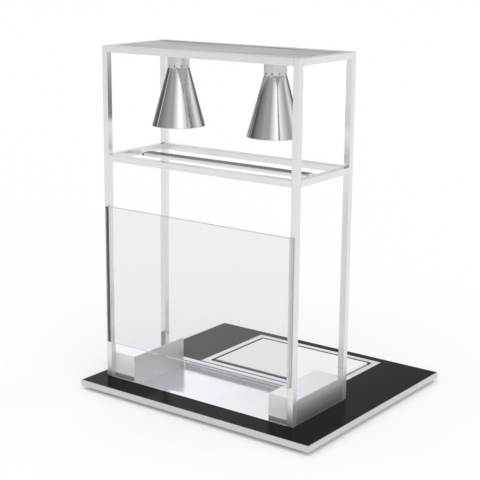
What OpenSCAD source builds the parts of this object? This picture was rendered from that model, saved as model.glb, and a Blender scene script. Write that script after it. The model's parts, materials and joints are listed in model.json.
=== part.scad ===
// Heated carving station: a steel lamp tower with a sunken polished tray stands on a black glass deck.
// A guard glass closes its front, and a carving board in a heated frame lies behind it.
// Millimetres, +Z up. The origin is the middle of the base, on the surface that the feet stand on.
// +X runs to the right as the guests see it, and +Y runs from the guests to the carver.

/* [Base] */
// Overall width of the base
base_w = 868; // [800:1:1000]
// Overall depth of the base
base_d = 773; // [640:1:900]
// Height of the base, from the underside of its pan to the deck
base_h = 26; // [24:0.5:44]
// Height of the steel band round the base
rim_h = 19.5; // [16:0.5:24]
// Sheet thickness of the band
rim_t = 2; // [1:0.5:3]
// Width of the band's two inward lips, one under the deck and one under the pan
lip_w = 14; // [8:1:20]
// Thickness of the black glass deck
deck_t = 6; // [4:0.5:8]
// Sheet thickness of the trays, pedestals, channels and bottom pan
sheet = 1.5; // [1:0.1:2]
// Distance from the edges of the base to the sides of the pan
pan_inset = 30; // [25:1:32]
// Height of the rubber feet
foot_h = 5.5; // [3:0.5:15]
// Diameter of a foot
foot_d = 30; // [20:1:40]
// Distance from the edges of the base to the middle of a foot
foot_inset = 55; // [50:1:80]

/* [Tower] */
// Overall width of the tower
tower_w = 720; // [640:1:740]
// Overall depth of the tower
tower_d = 296; // [240:1:360]
// Height of the tower above the deck
tower_h = 1064; // [950:1:1300]
// Top of the middle frame above the deck
mid_h = 728; // [650:1:780]
// Outer size of the square tube
tube = 20; // [16:1:30]
// Wall of the square tube
tube_t = 1.5; // [1:0.1:3]
// Distance from the left edge of the base to the tower
side_margin = 38.5; // [20:0.5:100]
// Distance from the front edge of the base to the tower
front_margin = 83.5; // [30:0.5:120]
// Thickness of the panel that closes the top frame
panel_t = 2; // [1:0.5:4]
// Joint between the panel and the top frame
panel_gap = 0.8; // [0.5:0.1:1]
// Depth of the panel below the top of the frame
panel_drop = 1; // [0:0.5:3]

/* [Tray] */
// Depth of the sunken tray below the deck
well_depth = 18; // [10:0.5:19.5]
// Corner radius of the tray
well_r = 8; // [3:0.5:15]
// Thickness of the heating mats
heater_t = 1.5; // [1:0.1:2.5]
// Distance from the edges of a tray floor to its heating mat
heater_inset = 15; // [8:1:30]

/* [Pedestals] */
// Width of a pedestal
pedestal_w = 99; // [90:1:130]
// Height of a pedestal above the tray flange
pedestal_h = 77; // [70:1:100]

/* [Guard] */
// Height of the guard glass
guard_h = 445; // [300:1:520]
// Thickness of the guard glass
guard_t = 8; // [6:1:12]
// Lower edge of the guard glass above the deck
guard_z = 120; // [90:1:180]
// Distance from the tower's sides to the edges of the guard glass
guard_inset = 10; // [0:0.5:14]
// Thickness of the bond between the guard glass and the posts
bond_t = 0.8; // [0.4:0.1:2]

/* [Lamps] */
// Distance from the middle of the tower to the middle of a lamp
lamp_x = 180; // [110:1:210]
// Height of a shade
shade_h = 179; // [150:1:200]
// Diameter of a shade's mouth
mouth_d = 167; // [155:1:190]
// Height of the straight edge round the mouth
mouth_edge = 2; // [1:0.5:6]
// Wall of a shade
shade_t = 1.2; // [0.8:0.1:2]
// Diameter of the collar, and of the shade's top
collar_d = 68; // [60:1:76]
// Height of a collar
collar_h = 49; // [40:1:56]
// Number of vent holes round a collar
vent_n = 10; // [6:1:14]
// Diameter of a vent hole
vent_d = 5; // [3:0.5:7]
// Height of the vent holes above the collar's lower edge
vent_z = 6; // [5:0.5:12]
// Width of the channels that carry the lamps
channel_w = 80; // [74:1:110]
// Height of the channels
channel_h = 15; // [8:1:16]
// Diameter of a lamp holder
holder_d = 38; // [36:1:42]
// Length of a lamp holder
holder_l = 76; // [70:1:90]
// Diameter of a lamp bulb
bulb_d = 125; // [95:1:127]
// Length of a lamp bulb below its holder
bulb_l = 124; // [110:1:130]

/* [Light bar] */
// Depth of the light bar, front to back
bar_d = 42; // [30:1:60]
// Height of the light bar
bar_h = 10; // [8:0.5:13]
// Middle of the light bar behind the tower's front
bar_y = 141; // [100:1:190]
// Top of the light bar below the top of the middle frame
bar_drop = 6; // [1:0.5:6.5]
// Wall of the light bar's housing
bar_t = 1.5; // [1:0.1:2]
// Length of each bracket between the light bar and the middle frame
bracket_l = 30; // [12:1:40]
// Width of a bracket
bracket_w = 24; // [12:1:30]
// Thickness of the light bar's end caps
cap_t = 3; // [1:0.5:6]
// Thickness of the diffuser
diffuser_t = 2.5; // [1.5:0.5:3]

/* [Carving board] */
// Width of the board's steel frame
frame_w = 485; // [420:1:560]
// Distance from the board's steel frame to the rear edge of the base
frame_margin = 36; // [20:0.5:80]
// Width of the steel border
frame_band = 21; // [15:0.5:30]
// Gap between the tower and the board's frame
frame_gap = 6.5; // [3:0.5:40]
// Depth of the recess below the deck
recess_depth = 12; // [9:0.5:16]
// Corner radius of the recess
recess_r = 6; // [2:0.5:12]
// Width of the finger groove round the board
groove_w = 10; // [8:0.5:16]
// Thickness of the board
board_t = 12; // [8:0.5:20]
// Corner radius of the board
board_r = 5; // [1:0.5:15]
// Thickness of the pads under the board
pad_t = 2; // [1:0.5:3]
// Diameter of the pads under the board
pad_d = 20; // [12:1:30]
// Distance from the board's edges to the middle of a pad
pad_inset = 30; // [20:1:60]

/* [Controls] */
// Height of the controls above the tray flange
control_z = 40; // [32:0.5:44]
// Diameter of the heat knob
knob_d = 38; // [34:1:44]
// Height of the heat knob
knob_h = 18; // [14:1:24]
// Diameter of the spindle that carries the knob
spindle_d = 6; // [4:0.5:7]
// Width and height of the thermostat
thermostat_w = 44; // [36:1:50]
// Depth of the thermostat
thermostat_d = 28; // [22:1:40]
// Distance between the two rocker switches
rocker_pitch = 34; // [28:1:36]
// Width of a rocker
rocker_w = 14; // [10:0.5:16]
// Radius that a rocker's ends turn on
rocker_r = 11.5; // [9:0.5:13]
// Tilt of a rocker from its middle position
rocker_tilt = 8; // [5:1:12]
// Diameter of the pins that a rocker turns on
pin_d = 3; // [2:0.5:4]
// Width of the power inlet's opening
inlet_w = 24.5; // [23:0.5:28]
// Height of the power inlet's opening
inlet_h = 16.5; // [16:0.5:20]
// Depth of the power inlet's opening
inlet_d = 19; // [17:0.5:24]

/* [Fits] */
// Clearance round a piece that is let into another
fit_gap = 0.3; // [0.2:0.05:0.6]
// Clearance under a piece that lifts off
seat_gap = 0.3; // [0.2:0.05:0.6]
// Radial clearance of a turning pin or spindle
run_gap = 0.05; // [0.02:0.01:0.1]
// Clearance round a tray in the cut-out of the deck
cutout_gap = 1.5; // [1:0.5:3]

/* [Hidden] */
$fn = 96;
eps = 1;

// Levels
deck_z = foot_h + base_h;
rim_z = deck_z - rim_h;
flange_z = deck_z + sheet;
mid_z = deck_z + mid_h;
top_z = deck_z + tower_h;
panel_z = top_z - panel_drop - panel_t;
channel_z = panel_z - channel_h;

// Places of the tower, its tray and the board frame
inner_w = base_w - 2 * rim_t;
inner_d = base_d - 2 * rim_t;
x_l = -base_w / 2 + side_margin;
x_r = x_l + tower_w;
y_f = -base_d / 2 + front_margin;
y_r = y_f + tower_d;
tower_x = (x_l + x_r) / 2;
tower_y = (y_f + y_r) / 2;
well_w = tower_w - 2 * pedestal_w;
well_d = tower_d - 2 * tube;
frame_d = base_d / 2 - frame_margin - y_r - frame_gap;
frame_y = y_r + frame_gap + frame_d / 2;
recess_w = frame_w - 2 * frame_band;
recess_d = frame_d - 2 * frame_band;
board_w = recess_w - 2 * groove_w;
board_d = recess_d - 2 * groove_w;
rail_w = tower_w - 2 * tube;
rail_d = tower_d - 2 * tube;

// Lamp holder: the ring that carries the shade, and the bore for the bulb's cap
ring_edge = 6;
ring_d = holder_d + 2 * ring_edge;
ring_h = 4;
bulb_cap_d = 27;
bulb_cap_h = 24;

// Light bar
bar_l = rail_w - 2 * bracket_l;
bar_z = mid_z - bar_drop - bar_h;
led_t = 1.6;
led_w = 16;
bracket_t = 3;
bracket_ear = 6;
bracket_plate_w = bracket_w + 2 * bracket_ear;

// Controls
knob_gap = 0.6;
skirt_h = 4;
skirt_edge = 3.5;
grip_d = knob_d - 2 * skirt_edge;
flute_n = 12;
flute_d = 4;
bush_d = spindle_d + 4;
bush_out = 2.5;
spindle_in = 14;
knob_crown = 4;
pilot_d = 8;
pilot_x = 28;
pilot_z = 24;
can_t = 2;
rocker_gap = 0.4;
rocker_mid = 0.36 * rocker_r;
rocker_end = 0.52 * rocker_r;
pin_l = 1.4;
bezel_edge = 1.5;
bezel_t = 2;
can_w = rocker_w + 2 * (rocker_gap + can_t);
can_l = 2 * (rocker_r + rocker_gap + can_t);
can_d = rocker_r + rocker_gap + can_t;
inlet_edge = 2;
inlet_t = 2.5;
inlet_can_w = inlet_w + 2 * inlet_edge;
inlet_can_h = inlet_h + 2 * inlet_edge;
inlet_y = 60;
blade_set_back = 5;
terminal_size = [24, 60, 18];

// Colours
steel = "gainsboro";
polished = "whitesmoke";
black = "#1b1b1d";
rubber = "#2a2a2a";

// Flat rectangle with round corners, centred
module rounded(w, d, r) {
    square([w - 2 * r, d], center = true);
    square([w, d - 2 * r], center = true);
    for (x = [-1, 1], y = [-1, 1])
        translate([x * (w / 2 - r), y * (d / 2 - r)])
            circle(r);
}

// Block that is centred in X and Y and stands on z = 0
module standing(w, d, h) {
    translate([-w / 2, -d / 2, 0])
        cube([w, d, h]);
}

module at_tower() {
    translate([tower_x, tower_y, deck_z])
        children();
}

module at_board() {
    translate([0, frame_y, deck_z])
        children();
}

// Lamp number side, -1 on the left and 1 on the right, hung from the underside of its channel
module at_lamp(side) {
    translate([tower_x + side * lamp_x, tower_y, channel_z])
        children();
}

// Middle of a pedestal's outer rear face, with local +Z pointing out to the carver
module at_panel(side) {
    translate([tower_x + side * (tower_w - tube - pedestal_w) / 2, y_r - tube, flange_z + control_z])
        rotate([-90, 0, 0])
            children();
}

// Middle of the power inlet on the left pedestal's outer side, with local +Z pointing out
module at_inlet() {
    translate([x_l, y_r - tube - inlet_y, flange_z + control_z])
        rotate([0, -90, 0])
            children();
}

// Steel band with a C section: its upper lip carries the deck and its lower lip the pan
module base_rim() {
    color(steel)
        translate([0, 0, rim_z])
            difference() {
                standing(base_w, base_d, rim_h);
                translate([0, 0, -eps])
                    standing(inner_w - 2 * lip_w, inner_d - 2 * lip_w, rim_h);
                translate([0, 0, sheet])
                    standing(inner_w, inner_d, rim_h - deck_t - 2 * sheet);
                translate([0, 0, rim_h - deck_t])
                    standing(inner_w, inner_d, deck_t + eps);
            }
}

// Pan whose flange lies on the band's lower lip, with sides that stand back under the band
module bottom_pan() {
    pan_w = base_w - 2 * pan_inset;
    pan_d = base_d - 2 * pan_inset;
    color(steel)
        difference() {
            union() {
                translate([0, 0, rim_z + sheet])
                    standing(inner_w - 2 * fit_gap, inner_d - 2 * fit_gap, sheet);
                translate([0, 0, foot_h])
                    standing(pan_w, pan_d, rim_z + 2 * sheet - foot_h);
            }
            translate([0, 0, foot_h + sheet])
                standing(pan_w - 2 * sheet, pan_d - 2 * sheet, base_h);
        }
}

module feet() {
    color(rubber)
        for (x = [-1, 1], y = [-1, 1])
            translate([x * (base_w / 2 - foot_inset), y * (base_d / 2 - foot_inset), 0])
                cylinder(d1 = foot_d - 4, d2 = foot_d, h = foot_h);
}

// Black deck with one cut-out for the sunken tray and one for the board's recess
module deck_glass() {
    color(black)
        difference() {
            translate([0, 0, deck_z - deck_t])
                standing(inner_w - 2 * fit_gap, inner_d - 2 * fit_gap, deck_t);
            at_tower()
                deck_cutout(well_w, well_d, well_r);
            at_board()
                deck_cutout(recess_w, recess_d, recess_r);
        }
}

module deck_cutout(w, d, r) {
    grow = sheet + cutout_gap;
    translate([0, 0, -deck_t - eps])
        linear_extrude(deck_t + 2 * eps)
            rounded(w + 2 * grow, d + 2 * grow, r + grow);
}

// Pressed tray: a flat flange lies on the deck, and a recess with round corners hangs from it
module pressed_tray(flange_w, flange_d, open_w, open_d, r, depth) {
    difference() {
        union() {
            standing(flange_w, flange_d, sheet);
            translate([0, 0, -depth - sheet])
                linear_extrude(depth + 2 * sheet)
                    rounded(open_w + 2 * sheet, open_d + 2 * sheet, r + sheet);
        }
        translate([0, 0, -depth])
            linear_extrude(depth + sheet + eps)
                rounded(open_w, open_d, r);
    }
}

// Heating mat on the underside of a tray floor
module heating_mat(w, d, depth) {
    translate([0, 0, -depth - sheet - heater_t])
        standing(w - 2 * heater_inset, d - 2 * heater_inset, heater_t);
}

// Insulation that fills the room between a heating mat and the pan
module insulation(w, d, depth) {
    h = base_h - depth - heater_t - 2 * sheet;
    translate([0, 0, sheet - base_h])
        standing(w - 2 * heater_inset, d - 2 * heater_inset, h);
}

module well_tray() {
    color(polished)
        at_tower()
            pressed_tray(tower_w, tower_d, well_w, well_d, well_r, well_depth);
}

module well_heater() {
    color("chocolate")
        at_tower()
            heating_mat(well_w, well_d, well_depth);
}

module well_insulation() {
    color("khaki")
        at_tower()
            insulation(well_w, well_d, well_depth);
}

module board_frame() {
    color(polished)
        at_board()
            pressed_tray(frame_w, frame_d, recess_w, recess_d, recess_r, recess_depth);
}

module board_heater() {
    color("chocolate")
        at_board()
            heating_mat(recess_w, recess_d, recess_depth);
}

module board_insulation() {
    color("khaki")
        at_board()
            insulation(recess_w, recess_d, recess_depth);
}

module carving_board() {
    color("whitesmoke")
        at_board()
            translate([0, 0, seat_gap + pad_t - recess_depth])
                linear_extrude(board_t)
                    rounded(board_w, board_d, board_r);
}

module board_pads() {
    color(rubber)
        at_board()
            for (x = [-1, 1], y = [-1, 1])
                translate([x * (board_w / 2 - pad_inset), y * (board_d / 2 - pad_inset), seat_gap - recess_depth])
                    cylinder(d = pad_d, h = pad_t);
}

// Housing between a front and a rear post, open at the bottom, on the tray flange
module pedestal(side) {
    translate([tower_x + side * (tower_w - pedestal_w) / 2, tower_y, flange_z])
        difference() {
            standing(pedestal_w, rail_d, pedestal_h);
            translate([0, 0, -eps])
                standing(pedestal_w - 2 * sheet, rail_d - 2 * sheet, pedestal_h - sheet + eps);
        }
}

module pedestal_left() {
    color(steel)
        difference() {
            pedestal(-1);
            at_panel(-1)
                panel_hole(bush_d);
            at_panel(-1)
                translate([pilot_x, -pilot_z, 0])
                    panel_hole(pilot_d);
            at_inlet()
                translate([0, 0, -sheet - eps])
                    standing(inlet_can_h + 2 * fit_gap, inlet_can_w + 2 * fit_gap, sheet + 2 * eps);
        }
}

module panel_hole(d) {
    translate([0, 0, -sheet - eps])
        cylinder(d = d + 2 * fit_gap, h = sheet + 2 * eps);
}

module pedestal_right() {
    color(steel)
        difference() {
            pedestal(1);
            for (side = [-1, 1])
                at_switch(side)
                    translate([0, 0, -sheet - eps])
                        standing(can_w + 2 * fit_gap, can_l + 2 * fit_gap, sheet + 2 * eps);
        }
}

// Square tube that stands on the tray flange, closed at the top
module post(x, y) {
    h = top_z - flange_z;
    color(steel)
        translate([tower_x + x * (tower_w - tube) / 2, tower_y + y * (tower_d - tube) / 2, flange_z])
            difference() {
                standing(tube, tube, h);
                translate([0, 0, -eps])
                    standing(tube - 2 * tube_t, tube - 2 * tube_t, h - tube_t + eps);
            }
}

// Square tube along X between two posts, with its top at the level z
module long_rail(y, z) {
    color(steel)
        translate([tower_x, tower_y + y * (tower_d - tube) / 2, z - tube])
            difference() {
                standing(rail_w, tube, tube);
                translate([0, 0, tube_t])
                    standing(rail_w + 2 * eps, tube - 2 * tube_t, tube - 2 * tube_t);
            }
}

// Square tube along Y between two posts, with its top at the level z
module short_rail(x, z) {
    color(steel)
        translate([tower_x + x * (tower_w - tube) / 2, tower_y, z - tube])
            difference() {
                standing(tube, rail_d, tube);
                translate([0, 0, tube_t])
                    standing(tube - 2 * tube_t, rail_d + 2 * eps, tube - 2 * tube_t);
            }
}

module top_panel() {
    color("silver")
        translate([tower_x, tower_y, panel_z])
            standing(rail_w - 2 * panel_gap, rail_d - 2 * panel_gap, panel_t);
}

// Channel between the front and rear top rails: the panel lies on it and a lamp hangs from it
module lamp_channel(side) {
    color(steel)
        at_lamp(side)
            difference() {
                standing(channel_w, rail_d, channel_h);
                translate([0, 0, sheet])
                    standing(channel_w - 2 * sheet, rail_d + 2 * eps, channel_h);
            }
}

// Cup with a ring of vent holes above its lower edge
module collar(side) {
    color(steel)
        at_lamp(side)
            translate([0, 0, -collar_h])
                difference() {
                    cylinder(d = collar_d, h = collar_h);
                    translate([0, 0, -eps])
                        cylinder(d = collar_d - 2 * sheet, h = collar_h - sheet + eps);
                    for (k = [0 : vent_n - 1])
                        rotate(k * 360 / vent_n)
                            translate([collar_d / 2 - 3 * sheet, 0, vent_z])
                                rotate([0, 90, 0])
                                    cylinder(d = vent_d, h = 4 * sheet, $fn = 32);
                }
}

// Spun cone: a flat top with a hole for the holder, a straight slope and a short upright edge
module shade(side) {
    hole_r = holder_d / 2 + fit_gap;
    neck_r = collar_d / 2;
    mouth_r = mouth_d / 2;
    color("silver")
        at_lamp(side)
            translate([0, 0, -collar_h])
                rotate_extrude()
                    polygon([
                        [hole_r, 0],
                        [neck_r, 0],
                        [mouth_r, mouth_edge - shade_h],
                        [mouth_r, -shade_h],
                        [mouth_r - shade_t, -shade_h],
                        [mouth_r - shade_t, mouth_edge - shade_h],
                        [neck_r - shade_t, -shade_t],
                        [hole_r, -shade_t]
                    ]);
}

// Ceramic holder under the collar's top, with the ring that the shade rests on
module holder(side) {
    r = holder_d / 2;
    bore_r = bulb_cap_d / 2 + fit_gap;
    ring_z = -collar_h - shade_t;
    color("ivory")
        at_lamp(side)
            rotate_extrude()
                polygon([
                    [0, -sheet],
                    [r, -sheet],
                    [r, ring_z],
                    [ring_d / 2, ring_z],
                    [ring_d / 2, ring_z - ring_h],
                    [r, ring_z - ring_h],
                    [r, -holder_l],
                    [bore_r, -holder_l],
                    [bore_r, -holder_l + bulb_cap_h],
                    [0, -holder_l + bulb_cap_h]
                ]);
}

// Reflector bulb: cap, flared body and domed face
module bulb(side) {
    neck_r = bulb_cap_d / 2;
    face_r = bulb_d / 2;
    flare_h = 0.8 * bulb_l;
    flare_n = 10;
    dome_n = 6;
    dome_h = bulb_l - flare_h;
    flare = [for (k = [0 : flare_n])
        [neck_r + (face_r - neck_r) * (1 - cos(180 * k / flare_n)) / 2, -flare_h * k / flare_n]];
    dome = [for (k = [1 : dome_n])
        [face_r * cos(90 * k / dome_n), -flare_h - dome_h * sin(90 * k / dome_n)]];
    color("mistyrose")
        at_lamp(side)
            translate([0, 0, -holder_l])
                rotate_extrude()
                    polygon(concat([[0, bulb_cap_h], [neck_r, bulb_cap_h]], flare, dome));
}

module guard_glass() {
    color("azure", 0.35)
        translate([tower_x, y_f - bond_t - guard_t / 2, deck_z + guard_z])
            standing(tower_w - 2 * guard_inset, guard_t, guard_h);
}

// Bond lines between the guard glass and the front posts
module guard_bonds() {
    bond_w = tube - guard_inset;
    color("white")
        for (side = [-1, 1])
            translate([
                tower_x + side * (tower_w / 2 - tube + bond_w / 2),
                y_f - bond_t / 2,
                deck_z + guard_z
            ])
                standing(bond_w, bond_t, guard_h);
}

module at_bar() {
    translate([tower_x, y_f + bar_y, bar_z])
        children();
}

// Channel that is open below, closed by the diffuser and the end caps
module bar_housing() {
    l = bar_l - 2 * cap_t;
    color("dimgray")
        at_bar()
            difference() {
                standing(l, bar_d, bar_h);
                translate([0, 0, -eps])
                    standing(l + 2 * eps, bar_d - 2 * bar_t, bar_h - bar_t + eps);
            }
}

module bar_diffuser() {
    color("white")
        at_bar()
            standing(bar_l - 2 * cap_t, bar_d - 2 * bar_t - 2 * fit_gap, diffuser_t);
}

module bar_led_strip() {
    color("lightyellow")
        at_bar()
            translate([0, 0, bar_h - bar_t - led_t])
                standing(bar_l - 2 * cap_t, led_w, led_t);
}

module bar_end_caps() {
    color(black)
        at_bar()
            for (side = [-1, 1])
                translate([side * (bar_l - cap_t) / 2, 0, 0])
                    standing(cap_t, bar_d, bar_h);
}

// Arm and mounting plate at each end of the light bar
module bar_brackets() {
    color(steel)
        at_bar()
            for (side = [-1, 1]) {
                translate([side * (bar_l + bracket_l) / 2, 0, 0])
                    standing(bracket_l, bracket_w, bar_h);
                translate([side * (rail_w - bracket_t) / 2, 0, 0])
                    standing(bracket_t, bracket_plate_w, bar_h);
            }
}

// Thermostat behind the left rear panel, with the bush that its spindle turns in
module thermostat() {
    color("tan")
        at_panel(-1)
            difference() {
                union() {
                    translate([0, 0, -sheet - thermostat_d])
                        standing(thermostat_w, thermostat_w, thermostat_d);
                    translate([0, 0, -sheet - eps])
                        cylinder(d = bush_d, h = sheet + eps + bush_out);
                }
                translate([0, 0, -sheet - spindle_in - fit_gap])
                    cylinder(d = spindle_d + 2 * run_gap, h = sheet + spindle_in + fit_gap + bush_out + eps);
            }
}

module heat_spindle() {
    color("silver")
        at_panel(-1)
            translate([0, 0, -sheet - spindle_in])
                cylinder(d = spindle_d, h = sheet + spindle_in + knob_gap + knob_h - knob_crown - fit_gap);
}

// Round knob with a skirt, a fluted grip and a raised pointer
module heat_knob() {
    pocket_h = bush_out + fit_gap - knob_gap;
    color(black)
        at_panel(-1)
            translate([0, 0, knob_gap])
                difference() {
                    union() {
                        cylinder(d = knob_d, h = skirt_h);
                        cylinder(d = grip_d, h = knob_h);
                        translate([0, -grip_d / 4, knob_h - eps])
                            standing(2, grip_d / 2, 2 * eps);
                    }
                    for (k = [0 : flute_n - 1])
                        rotate((k + 0.5) * 360 / flute_n)
                            translate([grip_d / 2 + flute_d / 4, 0, skirt_h])
                                cylinder(d = flute_d, h = knob_h, $fn = 24);
                    translate([0, 0, -eps])
                        cylinder(d = bush_d + 2 * fit_gap, h = pocket_h + eps);
                    translate([0, 0, -eps])
                        cylinder(d = spindle_d + 2 * run_gap, h = knob_h - knob_crown + eps);
                }
}

module pilot_light() {
    color("orangered")
        at_panel(-1)
            translate([pilot_x, -pilot_z, 0]) {
                translate([0, 0, -2 * pilot_d])
                    cylinder(d = pilot_d, h = 2 * pilot_d + eps);
                cylinder(d1 = pilot_d + 3, d2 = pilot_d, h = 3);
            }
}

// Middle of a rocker switch on the right rear panel, with local +Z pointing out
module at_switch(side) {
    at_panel(1)
        translate([side * rocker_pitch / 2, 0, 0])
            children();
}

// Bezel and can with a round bay for the rocker and a hole for its pins
module switch_can(side) {
    color(black)
        at_switch(side)
            difference() {
                union() {
                    standing(can_w + 2 * bezel_edge, can_l + 2 * bezel_edge, bezel_t);
                    translate([0, 0, -can_d])
                        standing(can_w, can_l, can_d + eps);
                }
                rotate([0, 90, 0])
                    cylinder(r = rocker_r + rocker_gap, h = rocker_w + 2 * rocker_gap, center = true);
                rotate([0, 90, 0])
                    cylinder(
                        d = pin_d + 2 * run_gap,
                        h = rocker_w + 2 * (pin_l + fit_gap),
                        center = true
                    );
            }
}

// Rocker with two sloping halves, round ends and a pin at each side
module rocker(side) {
    color("firebrick")
        at_switch(side)
            rotate([rocker_tilt, 0, 0]) {
                rotate([90, 0, 90])
                    linear_extrude(rocker_w, center = true)
                        intersection() {
                            circle(rocker_r);
                            polygon([
                                [-rocker_r, -rocker_r],
                                [rocker_r, -rocker_r],
                                [rocker_r, rocker_end],
                                [0, rocker_mid],
                                [-rocker_r, rocker_end]
                            ]);
                        }
                rotate([0, 90, 0])
                    cylinder(d = pin_d, h = rocker_w + 2 * pin_l, center = true);
            }
}

// Recessed inlet for a loose mains lead
module power_inlet() {
    back = 3;
    color(black)
        at_inlet()
            difference() {
                union() {
                    standing(inlet_can_h + 2 * inlet_edge, inlet_can_w + 2 * inlet_edge, inlet_t);
                    translate([0, 0, -inlet_d - back])
                        standing(inlet_can_h, inlet_can_w, inlet_d + back + eps);
                }
                translate([0, 0, -inlet_d])
                    standing(inlet_h, inlet_w, inlet_d + inlet_t + eps);
            }
}

module inlet_blades() {
    blade_pitch = 7;
    blade_rise = 4;
    color("goldenrod")
        at_inlet()
            translate([0, 0, -inlet_d])
                for (p = [[-blade_rise / 2, -blade_pitch], [-blade_rise / 2, blade_pitch], [blade_rise / 2, 0]])
                    translate(p)
                        standing(4, 2, inlet_d - blade_set_back);
}

// Wiring block on the tray flange inside the right pedestal
module terminal_block() {
    color("ivory")
        translate([x_r - pedestal_w / 2, tower_y, flange_z])
            standing(terminal_size.x, terminal_size.y, terminal_size.z);
}

base_rim();
bottom_pan();
feet();
deck_glass();
well_tray();
well_heater();
well_insulation();
board_frame();
board_heater();
board_insulation();
carving_board();
board_pads();
pedestal_left();
pedestal_right();
post(-1, -1);  // post_front_left
post(1, -1);  // post_front_right
post(-1, 1);  // post_rear_left
post(1, 1);  // post_rear_right
long_rail(-1, top_z);  // top_rail_front
long_rail(1, top_z);  // top_rail_rear
short_rail(-1, top_z);  // top_rail_left
short_rail(1, top_z);  // top_rail_right
long_rail(-1, mid_z);  // mid_rail_front
long_rail(1, mid_z);  // mid_rail_rear
short_rail(-1, mid_z);  // mid_rail_left
short_rail(1, mid_z);  // mid_rail_right
top_panel();
lamp_channel(-1);  // lamp_channel_left
lamp_channel(1);  // lamp_channel_right
collar(-1);  // collar_left
shade(-1);  // shade_left
holder(-1);  // holder_left
bulb(-1);  // bulb_left
collar(1);  // collar_right
shade(1);  // shade_right
holder(1);  // holder_right
bulb(1);  // bulb_right
guard_glass();
guard_bonds();
bar_housing();
bar_diffuser();
bar_led_strip();
bar_end_caps();
bar_brackets();
thermostat();
heat_spindle();
heat_knob();
pilot_light();
switch_can(-1);  // switch_lamps
rocker(-1);  // rocker_lamps
switch_can(1);  // switch_heat
rocker(1);  // rocker_heat
power_inlet();
inlet_blades();
terminal_block();
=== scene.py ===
"""Looks of a heated carving station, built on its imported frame.

The frame gives every size and place. This file adds the finishes, the soft edges of tube, sheet and
glass, the spun shades and bulbs, the marks and screws, and a plain studio with the photograph's camera.
"""

import json
import math

import bpy
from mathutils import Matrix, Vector


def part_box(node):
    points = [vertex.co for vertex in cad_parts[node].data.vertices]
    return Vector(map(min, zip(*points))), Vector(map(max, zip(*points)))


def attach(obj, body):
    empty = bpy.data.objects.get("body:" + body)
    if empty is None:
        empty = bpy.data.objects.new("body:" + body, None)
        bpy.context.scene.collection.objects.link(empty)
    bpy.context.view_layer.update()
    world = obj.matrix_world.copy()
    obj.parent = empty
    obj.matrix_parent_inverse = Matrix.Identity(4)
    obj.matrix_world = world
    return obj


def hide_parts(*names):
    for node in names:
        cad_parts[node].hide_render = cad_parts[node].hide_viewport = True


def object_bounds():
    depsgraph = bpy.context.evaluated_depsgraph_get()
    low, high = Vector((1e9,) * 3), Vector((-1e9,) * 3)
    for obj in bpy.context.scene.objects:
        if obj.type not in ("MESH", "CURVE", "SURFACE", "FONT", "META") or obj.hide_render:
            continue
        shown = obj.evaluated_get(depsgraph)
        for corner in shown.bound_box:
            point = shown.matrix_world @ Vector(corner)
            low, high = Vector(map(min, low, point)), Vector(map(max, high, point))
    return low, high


bl_info = {
    "name": "Heated Carving Station",
    "version": (1, 0, 0),
    "blender": (4, 5, 0),
    "location": "3D View > Sidebar > Station",
    "description": "Finishes and small fittings of a heated carving station",
    "category": "Object",
}

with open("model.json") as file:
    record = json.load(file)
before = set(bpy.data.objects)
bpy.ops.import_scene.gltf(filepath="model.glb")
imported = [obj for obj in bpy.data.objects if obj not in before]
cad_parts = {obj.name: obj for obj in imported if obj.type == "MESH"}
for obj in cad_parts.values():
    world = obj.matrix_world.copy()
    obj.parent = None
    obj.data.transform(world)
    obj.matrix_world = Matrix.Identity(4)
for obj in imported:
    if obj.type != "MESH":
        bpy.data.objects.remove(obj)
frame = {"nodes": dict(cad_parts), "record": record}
CAD_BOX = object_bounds()
NODES = frame["nodes"]
BODY_OF = {node: body for body, nodes in frame["record"]["behaviour"]["bodies"].items() for node in nodes}

MM = 0.001
FACING = 0.9  # a face counts as looking along an axis from this share of its normal
UP, DOWN = (0, 0, 1), (0, 0, -1)

POSTS = ["post_front_left", "post_front_right", "post_rear_left", "post_rear_right"]
LONG_RAILS = ["top_rail_front", "top_rail_rear", "mid_rail_front", "mid_rail_rear"]
SHORT_RAILS = ["top_rail_left", "top_rail_right", "mid_rail_left", "mid_rail_right"]
PEDESTALS = ["pedestal_left", "pedestal_right"]


def linear(code):
    """Turns an sRGB hex colour into linear red, green and blue."""
    channels = [int(code[i:i + 2], 16) / 255 for i in (1, 3, 5)]
    return [c / 12.92 if c <= 0.04045 else ((c + 0.055) / 1.055) ** 2.4 for c in channels]


def colour_property(name, code):
    """A colour that the panel's user may change, with its default as an sRGB hex value."""
    return bpy.props.FloatVectorProperty(
        name=name, description=f"{name} of the station", subtype="COLOR", size=3, min=0, max=1,
        default=linear(code),
    )


def size_property(name, description, millimetres):
    """A length that the panel's user may change, with its default in millimetres."""
    return bpy.props.FloatProperty(
        name=name, description=description, unit="LENGTH", min=0, default=millimetres * MM
    )


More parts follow.
